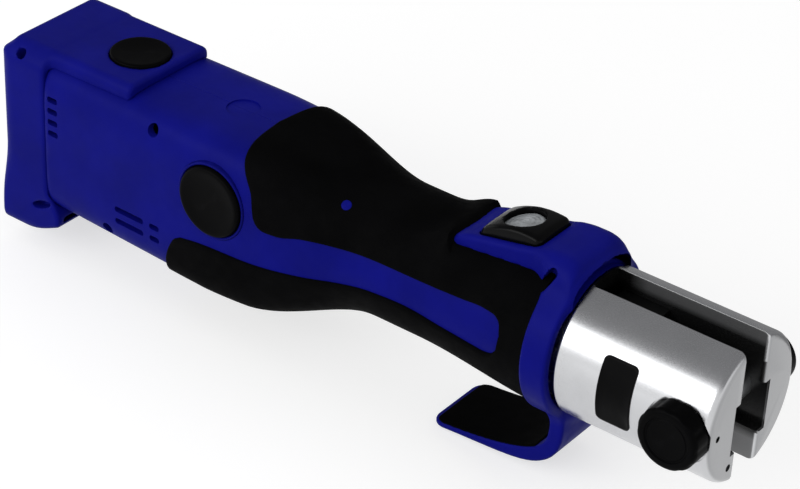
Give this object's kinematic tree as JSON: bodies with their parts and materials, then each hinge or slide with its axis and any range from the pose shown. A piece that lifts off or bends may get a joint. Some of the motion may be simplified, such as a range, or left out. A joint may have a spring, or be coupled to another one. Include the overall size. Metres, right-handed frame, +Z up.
{
  "type": "pipe press tool",
  "caption": "In-line battery press tool with a swivelling steel fork, roller ram and quick-release jaw pin, round grip, finger guard and side reset button.",
  "frame": {"origin": "centre of the battery face, on the tool's axis", "axes": "+X forward along the tool's axis to the jaw fork, +Z up away from the trigger, +Y to the tool's left"},
  "size_m": [0.4, 0.083, 0.1146],
  "materials": {
    "blue_housing": "fine moulded texture, ultramarine blue",
    "black_grip": "soft overmoulded grip, matt black",
    "black_plastic": "moulded black plastic",
    "clear_lens": "frosted light window",
    "steel_parts": "machined steel",
    "satin_fork": "satin nickel-plated steel",
    "pump_aluminium": "machined aluminium",
    "bronze": "plain bronze",
    "board": "circuit board",
    "copper_rotor": "wound rotor",
    "black_rubber": "moulded rubber",
    "label_plate": "bare satin label plate"
  },
  "bodies": {
    "housing": {"battery_shoe": "blue_housing", "battery_terminals": "bronze", "shoe_screws": "steel_parts", "right_shell": "blue_housing", "left_shell": "blue_housing", "upper_grip": "black_grip", "lower_grip": "black_grip", "shell_screws": "steel_parts", "nose_collar": "blue_housing", "guard_liner": "black_grip", "window_bezel": "black_plastic", "window_lens": "clear_lens", "light_board": "board", "control_board": "board", "motor_can": "steel_parts", "motor_magnets": "steel_parts", "motor_end_cap": "black_plastic", "motor_bushes": "bronze", "gear_plate": "steel_parts", "ring_gear": "steel_parts", "carrier_bearing": "steel_parts", "pump_block": "pump_aluminium", "pump_piston": "steel_parts", "oil_reservoir": "black_rubber", "relief_valve": "bronze", "pressure_cylinder": "steel_parts", "cylinder_bolts": "steel_parts", "front_bulkhead": "black_plastic", "rod_gland": "bronze", "swivel_ring": "steel_parts", "return_spring": "steel_parts", "trigger_pin": "steel_parts", "trigger_spring": "steel_parts", "start_switch": "black_plastic", "reset_cup": "black_plastic", "reset_spring": "steel_parts", "release_guide": "black_plastic", "release_spring": "steel_parts"},
    "rotor": {"rotor": "copper_rotor", "sun_gear": "steel_parts"},
    "carrier": {"planet_carrier": "steel_parts"},
    "planet_one": {"planet_gear_1": "steel_parts"},
    "planet_two": {"planet_gear_2": "steel_parts"},
    "planet_three": {"planet_gear_3": "steel_parts"},
    "head": {"fork": "satin_fork", "fork_label": "label_plate", "pin_keeper": "black_plastic"},
    "ram": {"ram": "steel_parts", "piston_seal": "black_rubber", "roller_carriage": "steel_parts", "roller_pins": "steel_parts"},
    "upper_roller": {"upper_roller": "steel_parts"},
    "lower_roller": {"lower_roller": "steel_parts"},
    "jaw_pin": {"jaw_pin": "steel_parts", "pin_knob": "black_plastic"},
    "trigger": {"trigger": "black_plastic"},
    "reset_button": {"reset_button": "black_plastic"},
    "release_button": {"release_button": "black_plastic", "battery_latch": "steel_parts"}
  },
  "joints": [
    {"name": "rotor_spin", "type": "hinge", "parent": "housing", "child": "rotor", "pos_m": [0.075, 0, 0], "axis": [1, 0, 0], "continuous": true},
    {"name": "carrier_spin", "type": "hinge", "parent": "housing", "child": "carrier", "pos_m": [0.119, 0, 0], "axis": [1, 0, 0], "continuous": true},
    {"name": "planet_one_spin", "type": "hinge", "parent": "carrier", "child": "planet_one", "pos_m": [0.108, 0, 0.015], "axis": [1, 0, 0], "continuous": true},
    {"name": "planet_two_spin", "type": "hinge", "parent": "carrier", "child": "planet_two", "pos_m": [0.108, 0.01299, -0.0075], "axis": [1, 0, 0], "continuous": true},
    {"name": "planet_three_spin", "type": "hinge", "parent": "carrier", "child": "planet_three", "pos_m": [0.108, -0.01299, -0.0075], "axis": [1, 0, 0], "continuous": true},
    {"name": "head_swivel", "type": "hinge", "parent": "housing", "child": "head", "pos_m": [0.309, 0, 0], "axis": [1, 0, 0], "range_deg": [-135, 135]},
    {"name": "ram_slide", "type": "slide", "parent": "head", "child": "ram", "axis": [1, 0, 0], "range_m": [0, 0.024], "stiffness_N_per_m": 1500, "deforming": ["return_spring"]},
    {"name": "upper_roller_spin", "type": "hinge", "parent": "ram", "child": "upper_roller", "pos_m": [0.345, 0, 0.011], "axis": [0, 1, 0], "continuous": true},
    {"name": "lower_roller_spin", "type": "hinge", "parent": "ram", "child": "lower_roller", "pos_m": [0.345, 0, -0.011], "axis": [0, 1, 0], "continuous": true},
    {"name": "jaw_pin_slide", "type": "slide", "parent": "head", "child": "jaw_pin", "axis": [0, -1, 0], "range_m": [0, 0.046]},
    {"name": "trigger_pull", "type": "hinge", "parent": "housing", "child": "trigger", "pos_m": [0.298, 0, -0.0285], "axis": [0, 1, 0], "range_deg": [0, 7], "stiffness_Nm_per_rad": 1.5, "deforming": ["trigger_spring"]},
    {"name": "reset_push", "type": "slide", "parent": "housing", "child": "reset_button", "axis": [0, 1, 0], "range_m": [0, 0.0025], "stiffness_N_per_m": 1200, "deforming": ["reset_spring"]},
    {"name": "release_push", "type": "slide", "parent": "housing", "child": "release_button", "axis": [0, 0, -1], "range_m": [0, 0.0025], "stiffness_N_per_m": 1500, "deforming": ["release_spring"]}
  ],
  "couplings": [
    {"joint": "carrier_spin", "follows": "rotor_spin", "ratio": 0.2},
    {"joint": "planet_one_spin", "follows": "rotor_spin", "ratio": -0.53333},
    {"joint": "planet_two_spin", "follows": "rotor_spin", "ratio": -0.53333},
    {"joint": "planet_three_spin", "follows": "rotor_spin", "ratio": -0.53333}
  ]
}
